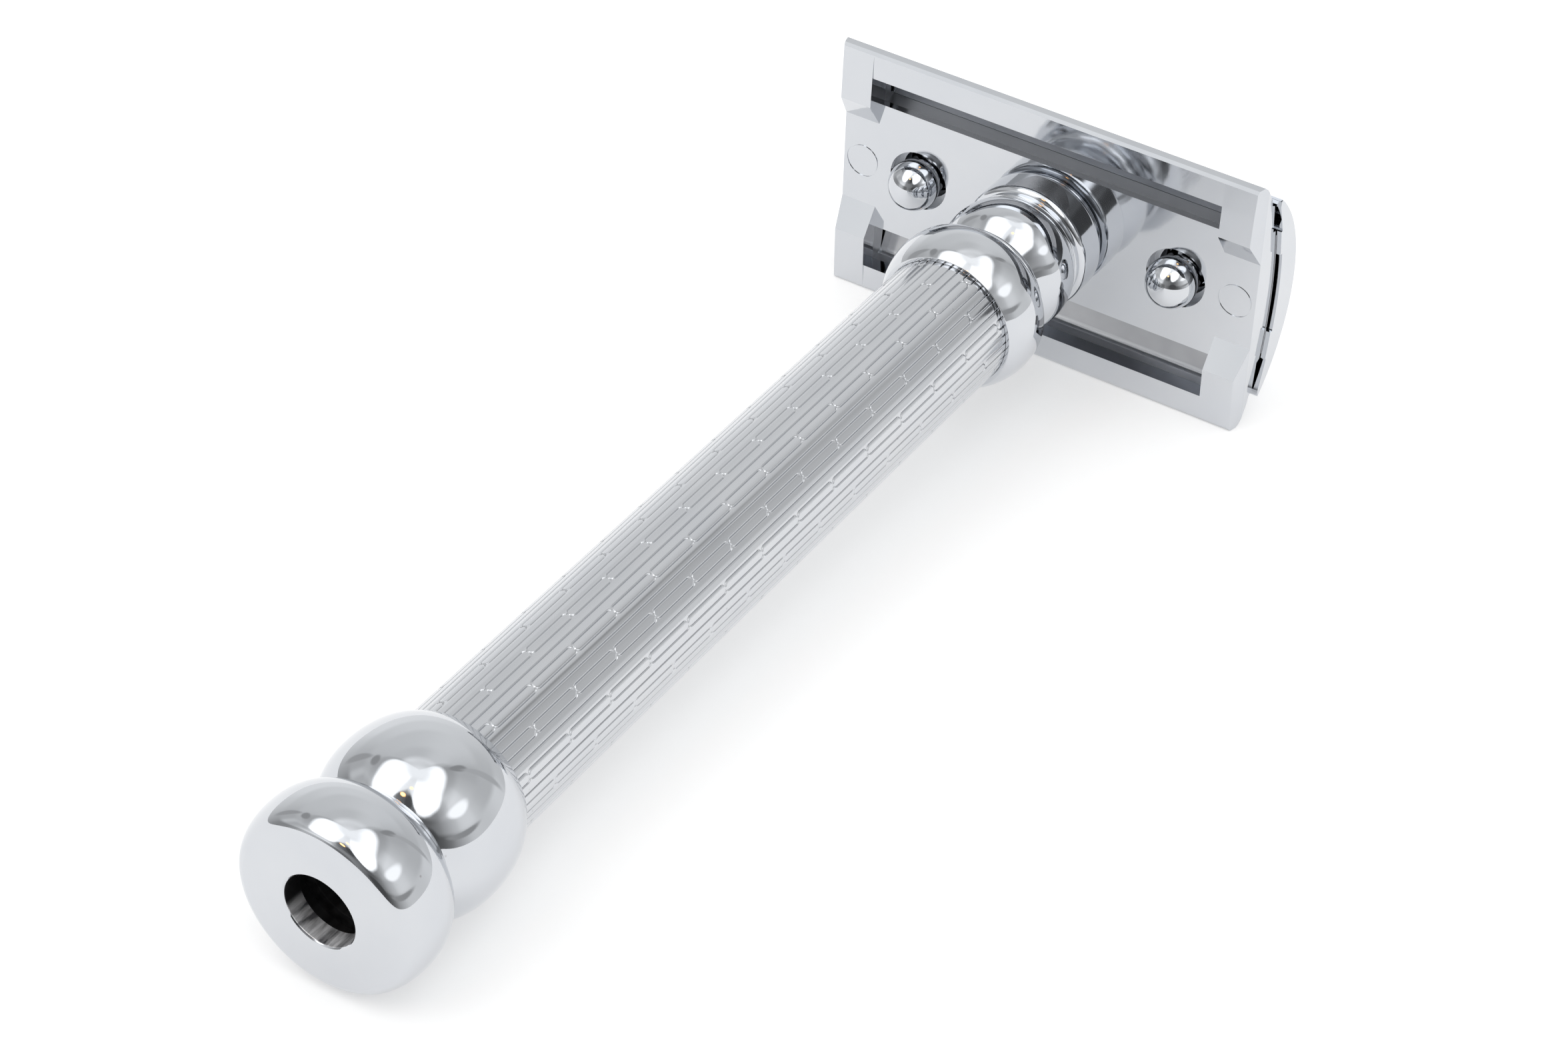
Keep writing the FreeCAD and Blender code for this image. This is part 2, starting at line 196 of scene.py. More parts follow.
def plated(name, tint, rough=0.05, rough_var=0.05, peel=0.10, grain=0.0, dull=(0.45, 0.45, 0.46), inside=None):
    """Bright plated metal: faint plating haze, orange-peel waviness, hairline marks and wear."""
    m, nt, N, L = node_tree(name)
    out = N.new("ShaderNodeOutputMaterial")
    bsdf = N.new("ShaderNodeBsdfPrincipled")
    bsdf.inputs["Metallic"].default_value = 1.0
    bsdf.inputs["IOR"].default_value = 2.2
    L.new(bsdf.outputs[0], out.inputs[0])
    tc = N.new("ShaderNodeTexCoord")

    # slow tone drift of the plating
    n1 = N.new("ShaderNodeTexNoise")
    n1.inputs["Scale"].default_value = 130
    n1.inputs["Detail"].default_value = 3
    L.new(tc.outputs["Object"], n1.inputs["Vector"])
    tone = N.new("ShaderNodeValToRGB")
    tone.color_ramp.elements[0].position = 0.30
    tone.color_ramp.elements[1].position = 0.72
    tone.color_ramp.elements[0].color = (tint[0] * 0.955, tint[1] * 0.96, tint[2] * 0.97, 1)
    tone.color_ramp.elements[1].color = (*tint, 1)
    L.new(n1.outputs["Fac"], tone.inputs["Fac"])

    # tiny dull specks
    n2 = N.new("ShaderNodeTexVoronoi")
    n2.inputs["Scale"].default_value = 900
    n2.inputs["Randomness"].default_value = 1.0
    L.new(tc.outputs["Object"], n2.inputs["Vector"])
    n3 = N.new("ShaderNodeTexNoise")
    n3.inputs["Scale"].default_value = 420
    n3.inputs["Detail"].default_value = 2
    L.new(tc.outputs["Object"], n3.inputs["Vector"])
    sp = N.new("ShaderNodeMapRange")
    sp.inputs["From Min"].default_value = 0.13
    sp.inputs["From Max"].default_value = 0.05
    sp.inputs["To Min"].default_value = 0.0
    sp.inputs["To Max"].default_value = 1.0
    L.new(n2.outputs["Distance"], sp.inputs["Value"])
    gate = N.new("ShaderNodeMapRange")
    gate.inputs["From Min"].default_value = 0.66
    gate.inputs["From Max"].default_value = 0.72
    L.new(n3.outputs["Fac"], gate.inputs["Value"])
    speck = N.new("ShaderNodeMath")
    speck.operation = "MULTIPLY"
    L.new(sp.outputs[0], speck.inputs[0])
    L.new(gate.outputs[0], speck.inputs[1])
    mix = N.new("ShaderNodeMix")
    mix.data_type = "RGBA"
    L.new(speck.outputs[0], mix.inputs["Factor"])
    L.new(tone.outputs["Color"], mix.inputs["A"])
    mix.inputs["B"].default_value = (*dull, 1)
    L.new(mix.outputs["Result"], bsdf.inputs["Base Color"])

    # roughness: haze patches and hairlines along the handle
    n4 = N.new("ShaderNodeTexNoise")
    n4.inputs["Scale"].default_value = 260
    n4.inputs["Detail"].default_value = 5
    n4.inputs["Roughness"].default_value = 0.6
    L.new(tc.outputs["Object"], n4.inputs["Vector"])
    mp = N.new("ShaderNodeMapping")
    mp.inputs["Scale"].default_value = (220, 2600, 2600)
    mp.inputs["Rotation"].default_value = (0.35, 0.2, 0.5)
    L.new(tc.outputs["Object"], mp.inputs["Vector"])
    n5 = N.new("ShaderNodeTexNoise")
    n5.inputs["Scale"].default_value = 1.0
    n5.inputs["Detail"].default_value = 2
    L.new(mp.outputs["Vector"], n5.inputs["Vector"])
    hair = N.new("ShaderNodeMapRange")
    hair.inputs["From Min"].default_value = 0.70
    hair.inputs["From Max"].default_value = 0.78
    hair.inputs["To Max"].default_value = 0.06
    L.new(n5.outputs["Fac"], hair.inputs["Value"])
    rr = N.new("ShaderNodeMapRange")
    rr.inputs["From Min"].default_value = 0.3
    rr.inputs["From Max"].default_value = 0.75
    rr.inputs["To Min"].default_value = rough
    rr.inputs["To Max"].default_value = rough + rough_var
    L.new(n4.outputs["Fac"], rr.inputs["Value"])
    add = N.new("ShaderNodeMath")
    add.operation = "ADD"
    L.new(rr.outputs[0], add.inputs[0])
    L.new(hair.outputs[0], add.inputs[1])
    if inside is None:
        L.new(add.outputs[0], bsdf.inputs["Roughness"])
    else:
        # the walls down inside the slots kept the duller surface of the casting
        depth, reach, dull_by = inside
        sep = N.new("ShaderNodeSeparateXYZ")
        L.new(tc.outputs["Object"], sep.inputs[0])
        deep = N.new("ShaderNodeMapRange")
        deep.inputs["From Min"].default_value = (AXIS_X + depth) * MM
        deep.inputs["From Max"].default_value = (AXIS_X + depth + 0.15) * MM
        L.new(sep.outputs["X"], deep.inputs["Value"])
        side = N.new("ShaderNodeMath")
        side.operation = "ABSOLUTE"
        L.new(sep.outputs["Y"], side.inputs[0])
        within = N.new("ShaderNodeMapRange")
        within.inputs["From Min"].default_value = reach * MM
        within.inputs["From Max"].default_value = (reach - 0.1) * MM
        L.new(side.outputs[0], within.inputs["Value"])
        both = N.new("ShaderNodeMath")
        both.operation = "MULTIPLY"
        L.new(deep.outputs[0], both.inputs[0])
        L.new(within.outputs[0], both.inputs[1])
        extra = N.new("ShaderNodeMath")
        extra.operation = "MULTIPLY_ADD"
        L.new(both.outputs[0], extra.inputs[0])
        extra.inputs[1].default_value = dull_by
        L.new(add.outputs[0], extra.inputs[2])
        L.new(extra.outputs[0], bsdf.inputs["Roughness"])

    # waviness of the polished surface
    n6 = N.new("ShaderNodeTexNoise")
    n6.inputs["Scale"].default_value = 380
    n6.inputs["Detail"].default_value = 1.5
    L.new(tc.outputs["Object"], n6.inputs["Vector"])
    bump = N.new("ShaderNodeBump")
    bump.inputs["Strength"].default_value = peel
    bump.inputs["Distance"].default_value = 0.00012
    L.new(n6.outputs["Fac"], bump.inputs["Height"])
    if grain:
        n7 = N.new("ShaderNodeTexNoise")
        n7.inputs["Scale"].default_value = 5200
        n7.inputs["Detail"].default_value = 2
        L.new(tc.outputs["Object"], n7.inputs["Vector"])
        b2 = N.new("ShaderNodeBump")
        b2.inputs["Strength"].default_value = grain
        b2.inputs["Distance"].default_value = 0.00002
        L.new(n7.outputs["Fac"], b2.inputs["Height"])
        L.new(bump.outputs["Normal"], b2.inputs["Normal"])
        L.new(b2.outputs["Normal"], bsdf.inputs["Normal"])
    else:
        L.new(bump.outputs["Normal"], bsdf.inputs["Normal"])
    return m


def ground_steel(name):
    """Blade steel: dark body, finely ground bright bands towards the two cutting edges."""
    m, nt, N, L = node_tree(name)
    out = N.new("ShaderNodeOutputMaterial")
    bsdf = N.new("ShaderNodeBsdfPrincipled")
    bsdf.inputs["Metallic"].default_value = 1.0
    L.new(bsdf.outputs[0], out.inputs[0])
    tc = N.new("ShaderNodeTexCoord")
    sep = N.new("ShaderNodeSeparateXYZ")
    L.new(tc.outputs["Object"], sep.inputs[0])
    # distance across the head from the handle axis
    cz = N.new("ShaderNodeMath"); cz.operation = "SUBTRACT"
    L.new(sep.outputs["Z"], cz.inputs[0]); cz.inputs[1].default_value = (AXIS_Z + 3 * ST) * MM
    ab = N.new("ShaderNodeMath"); ab.operation = "ABSOLUTE"
    L.new(cz.outputs[0], ab.inputs[0])
    band = N.new("ShaderNodeMapRange")
    band.inputs["From Min"].default_value = 0.0098
    band.inputs["From Max"].default_value = 0.0101
    L.new(ab.outputs[0], band.inputs["Value"])
    noise = N.new("ShaderNodeTexNoise")
    noise.inputs["Scale"].default_value = 300
    noise.inputs["Detail"].default_value = 4
    L.new(tc.outputs["Object"], noise.inputs["Vector"])
    body = N.new("ShaderNodeValToRGB")
    body.color_ramp.elements[0].color = (0.32, 0.325, 0.34, 1)
    body.color_ramp.elements[1].color = (0.46, 0.465, 0.48, 1)
    L.new(noise.outputs["Fac"], body.inputs["Fac"])
    mix = N.new("ShaderNodeMix"); mix.data_type = "RGBA"
    L.new(band.outputs[0], mix.inputs["Factor"])
    L.new(body.outputs["Color"], mix.inputs["A"])
    mix.inputs["B"].default_value = (0.64, 0.65, 0.67, 1)
    L.new(mix.outputs["Result"], bsdf.inputs["Base Color"])
    mp = N.new("ShaderNodeMapping")
    mp.inputs["Scale"].default_value = (9000, 300, 9000)
    L.new(tc.outputs["Object"], mp.inputs["Vector"])
    lines = N.new("ShaderNodeTexNoise")
    lines.inputs["Scale"].default_value = 1.0
    lines.inputs["Detail"].default_value = 3
    L.new(mp.outputs[0], lines.inputs["Vector"])
    rr = N.new("ShaderNodeMapRange")
    rr.inputs["To Min"].default_value = 0.10
    rr.inputs["To Max"].default_value = 0.20
    L.new(lines.outputs["Fac"], rr.inputs["Value"])
    L.new(rr.outputs[0], bsdf.inputs["Roughness"])
    bump = N.new("ShaderNodeBump")
    bump.inputs["Strength"].default_value = 0.25
    bump.inputs["Distance"].default_value = 0.00001
    L.new(lines.outputs["Fac"], bump.inputs["Height"])
    L.new(bump.outputs[0], bsdf.inputs["Normal"])
    return m


def brass(name):
    m, nt, N, L = node_tree(name)
    out = N.new("ShaderNodeOutputMaterial")
    bsdf = N.new("ShaderNodeBsdfPrincipled")
    bsdf.inputs["Metallic"].default_value = 1.0
    L.new(bsdf.outputs[0], out.inputs[0])
    tc = N.new("ShaderNodeTexCoord")
    noise = N.new("ShaderNodeTexNoise")
    noise.inputs["Scale"].default_value = 500
    noise.inputs["Detail"].default_value = 5
    L.new(tc.outputs["Object"], noise.inputs["Vector"])
    ramp = N.new("ShaderNodeValToRGB")
    ramp.color_ramp.elements[0].color = (0.60, 0.40, 0.16, 1)
    ramp.color_ramp.elements[1].color = (0.83, 0.62, 0.30, 1)
    L.new(noise.outputs["Fac"], ramp.inputs["Fac"])
    L.new(ramp.outputs["Color"], bsdf.inputs["Base Color"])
    rr = N.new("ShaderNodeMapRange")
    rr.inputs["To Min"].default_value = 0.18
    rr.inputs["To Max"].default_value = 0.42
    L.new(noise.outputs["Fac"], rr.inputs["Value"])
    L.new(rr.outputs[0], bsdf.inputs["Roughness"])
    bump = N.new("ShaderNodeBump")
    bump.inputs["Strength"].default_value = 0.2
    bump.inputs["Distance"].default_value = 0.00003
    L.new(noise.outputs["Fac"], bump.inputs["Height"])
    L.new(bump.outputs[0], bsdf.inputs["Normal"])
    return m


def bore_streaks_and_shade(name, dark, light, rough, metal, low=None):
    """Inside the bores: mottled streaks drawn along the handle. Near-black colours make a painted shade deep inside the
    bore; with low given, the wall above that height is painted near-black as shade.
    """
    m, nt, N, L = node_tree(name)
    out = N.new("ShaderNodeOutputMaterial")
    bsdf = N.new("ShaderNodeBsdfPrincipled")
    bsdf.inputs["Metallic"].default_value = metal
    L.new(bsdf.outputs[0], out.inputs[0])
    tc = N.new("ShaderNodeTexCoord")
    mp = N.new("ShaderNodeMapping")
    mp.inputs["Scale"].default_value = (260, 1500, 1500)
    L.new(tc.outputs["Object"], mp.inputs["Vector"])
    noise = N.new("ShaderNodeTexNoise")
    noise.inputs["Scale"].default_value = 1.0
    noise.inputs["Detail"].default_value = 4
    L.new(mp.outputs[0], noise.inputs["Vector"])
    ramp = N.new("ShaderNodeValToRGB")
    ramp.color_ramp.elements[0].position = 0.38
    ramp.color_ramp.elements[1].position = 0.62
    ramp.color_ramp.elements[0].color = (*dark, 1)
    ramp.color_ramp.elements[1].color = (*light, 1)
    L.new(noise.outputs["Fac"], ramp.inputs["Fac"])
    if low is None:
        L.new(ramp.outputs["Color"], bsdf.inputs["Base Color"])
    else:
        # painted shade: the streaked metal colour only along the bottom of the bore, near-black painted shade on the
        # wall above it
        sep = N.new("ShaderNodeSeparateXYZ")
        L.new(tc.outputs["Object"], sep.inputs[0])
        below_shade = N.new("ShaderNodeMapRange")
        below_shade.inputs["From Min"].default_value = low[0] * MM
        below_shade.inputs["From Max"].default_value = low[1] * MM
        L.new(sep.outputs["Z"], below_shade.inputs["Value"])
        upper_wall_shade = N.new("ShaderNodeMix")
        upper_wall_shade.data_type = "RGBA"
        L.new(below_shade.outputs[0], upper_wall_shade.inputs["Factor"])
        upper_wall_shade.inputs["A"].default_value = (0.015, 0.015, 0.016, 1)
        L.new(ramp.outputs["Color"], upper_wall_shade.inputs["B"])
        L.new(upper_wall_shade.outputs["Result"], bsdf.inputs["Base Color"])
    rr = N.new("ShaderNodeMapRange")
    rr.inputs["To Min"].default_value = rough - 0.1
    rr.inputs["To Max"].default_value = rough + 0.1
    L.new(noise.outputs["Fac"], rr.inputs["Value"])
    L.new(rr.outputs[0], bsdf.inputs["Roughness"])
    bump = N.new("ShaderNodeBump")
    bump.inputs["Strength"].default_value = 0.3
    bump.inputs["Distance"].default_value = 0.00004
    L.new(noise.outputs["Fac"], bump.inputs["Height"])
    L.new(bump.outputs[0], bsdf.inputs["Normal"])
    return m


def second_material(ob, mat, test):
    """Faces whose middle passes the test take the second material; test gets (x, radius) in millimetres."""
    ob.data.materials.append(mat)
    inv = LAY.inverted()
    for f in ob.data.polygons:
        x, y, z = inv @ (f.center / MM)
        if test(x, math.hypot(y, z), f):
            f.material_index = 1


CHROME = (0.645, 0.66, 0.685)
m_cap = plated("chrome_cap", CHROME, rough=0.035, rough_var=0.03, peel=0.06)
m_plate = plated("chrome_plate", (0.635, 0.65, 0.675), rough=0.05, rough_var=0.05, peel=0.10, inside=(0.35, 17.9, 0.28))
m_handle = plated("chrome_handle", CHROME, rough=0.03, rough_var=0.03, peel=0.06)
m_grip = plated("chrome_grip", (0.65, 0.66, 0.68), rough=0.10, rough_var=0.04, peel=0.05)
m_stud = plated("stud_steel", (0.66, 0.66, 0.67), rough=0.16, rough_var=0.10, peel=0.10)
m_blade = ground_steel("blade_steel")
m_brass = brass("bush_brass")
# painted shade: near-black colour for the faces deep inside the ball and knob, where shade falls
m_deep_shade = bore_streaks_and_shade("deep_shade_painted", (0.008, 0.008, 0.009), (0.03, 0.03, 0.032), 0.7, 0.0)
# bore wall: streaked metal along its bottom, painted shade (near-black) on its upper part above the given height
m_bore = bore_streaks_and_shade("bore_wall", (0.14, 0.14, 0.15), (0.90, 0.90, 0.92), 0.30, 0.35, low=(7.5, 6.3))


def finish_piece(ob, mat, body, slot, *replaced):
    ob.data.materials.clear()
    ob.data.materials.append(mat)
    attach(ob, body)
    if replaced:
        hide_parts(*replaced)
    return ob


def finish_node(node, mat):
    ob = nodes[node]
    if not ob.material_slots:
        ob.data.materials.append(mat)
    for s in ob.material_slots:
        s.material = mat
    return ob


# ------------------------------------------------------------------ neck, collar, ball, knob
neck = lathe("neck_turned", joined(
    (-0.02, 5.45), arc3((-0.35, 5.45), (-0.6, 5.95), (-1.1, 6.15)),
    arc3((-3.25, 6.15), (-3.75, 5.98), (-3.95, 5.55)),
    curve([(-4.05, 5.35), (-5.3, 6.0), (-6.9, 6.3), (-8.5, 6.0), (-9.9, 5.05), (-10.45, 4.6)]),
    (-10.75, 4.6), (-10.75, 4.4), (-23.6, 4.4), (-24.0, 4.0), (-24.0, 0.0), (-15.0, 0.0), (-15.0, 2.7),
    (-12.0, 2.7), (-12.0, 3.5), (-0.02, 3.5)), segs=176)
finish_piece(neck, m_handle, "handle", "chrome_handle", "neck_fitting")

collar = lathe("collar_turned", joined(
    (-10.75, 4.4), arc3((-10.75, 5.35), (-11.2, 6.0), (-11.65, 5.75)),
    (-11.85, 5.55), (-12.05, 5.8),
    curve([(-12.15, 6.45), (-12.5, 7.0), (-13.5, 7.42), (-14.6, 7.5), (-15.9, 7.3), (-17.0, 6.9), (-17.65, 6.5)]),
    (-17.65, 6.15), (-17.0, 6.15), (-17.0, 4.4)), segs=176)
finish_piece(collar, m_handle, "handle", "chrome_handle", "collar_ring")

ball = lathe("pommel_turned", joined(
    (-89.1, 6.15), curve([(-89.1, 6.4), (-90.4, 7.2), (-92.1, 7.76), (-94.0, 7.95), (-95.8, 7.78), (-97.3, 7.25),
                         (-98.3, 6.6), (-98.75, 6.2)], 12),
    (-98.75, 4.8), (-102.4, 4.8), (-102.4, 3.6), (-78.0, 3.6), (-78.0, 4.0), (-78.4, 4.4),
    (-89.6, 4.4), (-89.6, 6.15)), segs=176)
finish_piece(ball, m_handle, "handle", "chrome_handle", "pommel_ball")
# the ball's inner faces take the near-black painted shade
second_material(ball, m_deep_shade, lambda x, r, f: r < 5.0)

knob = lathe("knob_turned", joined(
    (-98.75, 4.8), curve([(-98.75, 6.2), (-99.15, 6.95), (-99.9, 7.62), (-101.2, 8.2), (-102.8, 8.4), (-104.2, 8.27),
                          (-105.3, 7.9), (-105.9, 7.4), (-106.1, 6.95)], 12),
    (-106.1, 3.35), (-105.95, 3.2), (-104.2, 3.2), (-104.2, 4.8)), segs=176)
finish_piece(knob, m_handle, "handle", "chrome_handle", "end_knob")
# the knob's inner faces take the near-black painted shade; its bore wall takes the streaked bore material with painted
# shade on its upper part
second_material(knob, m_deep_shade, lambda x, r, f: x > -104.25 and r < 4.9)
knob.data.materials.append(m_bore)
for f in knob.data.polygons:
    x, y, z = LAY.inverted() @ (f.center / MM)
    if -106.0 < x < -104.25 and math.hypot(y, z) < 3.3:
        f.material_index = 2


# ------------------------------------------------------------------ ribbed grip
def make_grip():
    """48 lengthwise ribs. Every third one is a row of long flats with round ends, and the
    engraved line follows each flat's outline, so its neighbours reach in between them."""
    R, DEPTH, HALF = 6.15, 0.10, 0.07         # crest radius, line depth, half width of the line
    START, END = -17.65, -89.1
    STEP, ROWS = 5.33, 16
    pitch = 2 * math.pi / 48
    arc = pitch * R
    flat = arc / 2 - HALF                      # half width of a flat
    us = [-0.5, -0.447, -0.394, -0.345, -0.27, -0.18, -0.09]
    us = sorted(us + [0.0] + [-u for u in us[1:]])
    plain = [-0.5, -0.44, -0.39, -0.34, -0.17, 0.0, 0.17, 0.34, 0.39, 0.44]
    cols = []                                  # (angle, row, distance round from that row's middle in mm)
    for k in range(ROWS):
        mid = (22.5 * k + 0.9) * math.pi / 180
        for u in us:
            cols.append((mid + u * pitch, k, u * arc))
        for j in (1, 2):
            for u in plain:
                f = j + u
                cols.append((mid + f * pitch, k if f < 1.5 else (k + 1) % ROWS, f * arc if f < 1.5 else (f - 3) * arc))
    breaks = [[], []]
    for par, first in ((0, -47.75), (1, -50.4)):
        a = first + 12 * STEP
        while a > END - 2:
            if a < START + 2:
                breaks[par].append(a)
            a -= STEP
    near = np.linspace(-0.56, 0.56, 17)
    xs = {START, END}
    for par in (0, 1):
        for b in breaks[par]:
            xs.update(round(b + d, 4) for d in near)
            xs.add(round(b + 1.33, 4))
    xs = sorted((x for x in xs if END <= x <= START), reverse=True)
    X = np.array(xs)[:, None]
    W = np.array([c[2] for c in cols])[None, :]
    depth = np.zeros((len(xs), len(cols)))
    # plain lines between the two continuous ribs
    depth = np.maximum(depth, DEPTH * np.clip(1 - np.abs(np.abs(W) - 1.5 * arc) / HALF, 0, 1))
    # outline of the flats
    gap = 0.07                                 # half of the gap between two flats
    for par in (0, 1):
        sel = np.array([c[1] % 2 == par for c in cols])
        off = np.min(np.abs(X - np.array(breaks[par])[None, :]), axis=1)[:, None]
        # outside distance to a stadium whose end is at off = gap
        over = np.maximum(flat + gap - off, 0)
        dist = np.hypot(over, W) - flat
        d = DEPTH * np.clip(1 - np.abs(dist - HALF) / HALF, 0, 1)
        d = d * (1 - 0.45 * np.exp(-(W / 0.15) ** 2) * (off < 0.3))
        near_row = np.abs(W) < 1.25 * arc
        depth = np.where(sel[None, :] & near_row, np.maximum(depth, d), depth)
    # every rib is crowned a little between its two lines
    near_mid = (W + arc / 2) % arc - arc / 2
    rad = R - depth - 0.013 * (near_mid / flat) ** 2
    ang = np.array([c[0] for c in cols])[None, :]
    Y, Z = -rad * np.cos(ang), rad * np.sin(ang)
    rows = [np.stack([np.broadcast_to(X, Y.shape), Y, Z], -1)]
    nc = len(cols)

    def ring(x, r):
        a = ang[0]
        return np.stack([np.full(nc, x), -r * np.cos(a), r * np.sin(a)], -1)[None]

    seat = R - DEPTH - 0.01
    tail = [ring(END, seat), ring(END - 0.5, seat), ring(END - 0.5, 4.4), ring(-17.0, 4.4), ring(-17.0, seat), ring(START, seat)]
    grid = np.concatenate(rows + tail, 0)
    nr = grid.shape[0]
    idx = np.arange(nr * nc).reshape(nr, nc)
    a, b = idx, np.roll(idx, -1, 0)
    quads = np.stack([a, b, np.roll(b, -1, 1), np.roll(a, -1, 1)], -1).reshape(-1, 4)
    return mesh_object("grip_ribbed", grid.reshape(-1, 3), quads.tolist(), sharp=70)


grip = make_grip()
finish_piece(grip, m_grip, "handle", "chrome_grip", "grip_tube")


# ------------------------------------------------------------------ pegs and stud
def make_pegs():
    verts, faces = [], []
    for e in (1, -1):
        n = 28
        r, tip = 2.4, -3.15
        far = math.radians(124)                # the ball carries on past its widest ring to a thinner shank
        dome = [(tip + r - r * math.cos(t * far / n), r * math.sin(t * far / n)) for t in range(n + 1)]
        shank = r * math.sin(far)
        v, f = turned(joined((5.0, 0.0), dome, (4.85, shank), (5.0, shank - 0.15)), 112, y0=e * 13.34)
        base = len(verts)
        verts += v
        faces += [tuple(i + base for i in q) for q in f]
    return mesh_object("pegs_domed", verts, faces, sharp=50)


pegs = make_pegs()
finish_piece(pegs, m_handle, "cap", "chrome_cap", "locating_pegs")


def make_stud():
    """A true single-start helical thread below a plain shank."""
    segs, r, root, pitch = 96, 2.45, 2.03, 0.8
    top, shank, end = 5.3, 2.85, -9.6
    step = 0.05
    rows = [[(top, 0.0)] * segs]
    n = int((top - 0.1 - end) / step)
    for i in range(n + 1):
        x = top - 0.1 - i * step if i else top
        ring = []
        for j in range(segs):
            t = j / segs
            ph = ((x / pitch - t) % 1.0)
            crest = min(1.0, max(0.0, (abs(ph - 0.5) * 2 - 0.26) / 0.52))
            thread = root + (r - root) * (1 - crest)
            k = min(1.0, max(0.0, (shank - x) / 0.5))
            rr = r * (1 - k) + thread * k
            rr = min(rr, r - 0.1 if i == 0 else r)
            e = x - end
            if e < 0.7:
                rr = min(rr, root - 0.25 + e * 0.7)
            ring.append((x, rr))
        rows.append(ring)
    rows.append([(end, 0.0)] * segs)
    verts, faces = [(top, 0, 0)], []
    for ring in rows[1:-1]:
        for j, (x, rr) in enumerate(ring):
            a = 2 * math.pi * j / segs
            verts.append((x, rr * math.cos(a), rr * math.sin(a)))
    verts.append((rows[-2][0][0], 0, 0))
    m = len(rows) - 2
    for j in range(segs):
        j2 = (j + 1) % segs
        faces.append((0, 1 + j, 1 + j2))
        for i in range(m - 1):
            a, b = 1 + i * segs, 1 + (i + 1) * segs
            faces.append((a + j, b + j, b + j2, a + j2))
        a = 1 + (m - 1) * segs
        faces.append((a + j, len(verts) - 1, a + j2))
    return mesh_object("stud_threaded", verts, faces, sharp=60)


stud = make_stud()
finish_piece(stud, m_stud, "cap", "stud_steel", "threaded_stud")

# ------------------------------------------------------------------ plate, cap, blade and bush keep their CAD shape
for node, mat, width in (("base_plate", m_plate, 0.36), ("top_cap", m_cap, 0.14)):
    ob = finish_node(node, mat)
    dec = ob.modifiers.new("flatten", "DECIMATE")
    dec.decimate_type = "DISSOLVE"
    dec.angle_limit = math.radians(0.5)
    bev = ob.modifiers.new("edges", "BEVEL")
    bev.width = width * MM
    bev.segments = 3
    bev.limit_method = "ANGLE"
    bev.angle_limit = math.radians(30)
    bev.harden_normals = True
    bev.use_clamp_overlap = False
finish_node("razor_blade", m_blade)
finish_node("thread_bush", m_brass)

# ------------------------------------------------------------------ floor
bpy.ops.mesh.primitive_plane_add(size=6.0, location=(0, 0, -0.00002))
floor = bpy.context.object
floor.name = "floor"
fm, nt, N, L = node_tree("floor_white")
out = N.new("ShaderNodeOutputMaterial")
bs = N.new("ShaderNodeBsdfPrincipled")
bs.inputs["Base Color"].default_value = (0.73, 0.73, 0.73, 1)
bs.inputs["Emission Color"].default_value = (1, 1, 1, 1)
bs.inputs["Emission Strength"].default_value = 0.37
bs.inputs["Roughness"].default_value = 0.6
bs.inputs["Specular IOR Level"].default_value = 0.2
L.new(bs.outputs[0], out.inputs[0])
floor.data.materials.append(fm)

# ------------------------------------------------------------------ light
# A white tent open towards the camera: pale walls of differing tone, a bright band of
# light that comes down low on both sides of the camera, a quieter roof above it and a
# dark room behind the opening. Each list is (azimuth in degrees, value), joined by a
# smooth curve. WINDOWS are soft patches brighter or darker than the wall behind them.
WALL_LOW = [(-180, .34), (-168, .20), (-154, .09), (-134, .12), (-120, .22), (-108, .42), (-94, .64), (-80, .80), (-60, .80), (-38, .90),
            (-22, .76), (-8, .76), (10, .86), (50, 1.0), (64, .86), (80, .68), (96, .50), (120, .34), (134, .42), (148, .66), (160, .44), (170, .20), (180, .34)]
WALL_MID = [(-180, .34), (-166, .26), (-150, .18), (-134, .26), (-120, .46), (-104, .70), (-84, .94), (-66, .78), (-50, .66), (-34, .66),
            (-14, .72), (4, .84), (40, .90), (62, .80), (80, .66), (97, .58), (108, .74), (118, .60), (128, .66), (140, 1.0), (156, 1.25), (165, .7), (172, .36), (180, .34)]
WALL_HIGH = [(-180, .16), (-168, .20), (-158, .34), (-148, .42), (-134, .40), (-120, .58), (-106, .84), (-90, 1.05), (-76, 1.0), (-62, .78), (-48, .66),
             (-36, .60), (-20, .76), (0, .86), (40, .80), (76, .74), (92, .66), (102, .64), (112, .70), (122, .8), (140, .95), (160, .95), (170, .30), (180, .16)]
WALL_TOP = [(-180, .60), (-165, .70), (-140, .80), (-110, .88), (-85, .78), (-60, .66), (-42, .60), (-30, .56), (-19, .82), (0, .84), (30, .74), (60, .74), (80, .72), (100, .76), (130, .90), (165, .80), (180, .60)]
ROOF = [(-180, 1.14), (-160, 1.08), (-120, 1.16), (-90, 1.38), (-60, 1.42), (-28, 1.30), (-6, 1.04), (30, 1.0), (60, 1.10), (110, 1.33), (150, 1.24), (180, 1.14)]
ZENITH = 1.34
BAND_EDGE = [(-180, 62), (-172, 60), (-166, 52), (-160, 40), (-152, 34), (-142, 36), (-130, 41), (-118, 46), (-106, 53), (-92, 59), (-70, 62), (-45, 63), (-28, 65),
             (-18, 71), (-6, 84), (30, 88), (66, 84), (78, 72), (86, 60), (96, 54), (108, 50), (118, 46), (127, 40), (136, 34), (148, 30), (158, 31), (164, 38), (169, 52), (180, 62)]
BAND = [(-180, 1.25), (-168, 1.3), (-158, 2.1), (-140, 2.2), (-100, 2.0), (-40, 1.9), (-20, 1.5), (30, 1.2), (76, 1.4), (90, 1.7), (120, 2.0), (150, 2.3), (163, 1.9), (172, 1.3), (180, 1.25)]
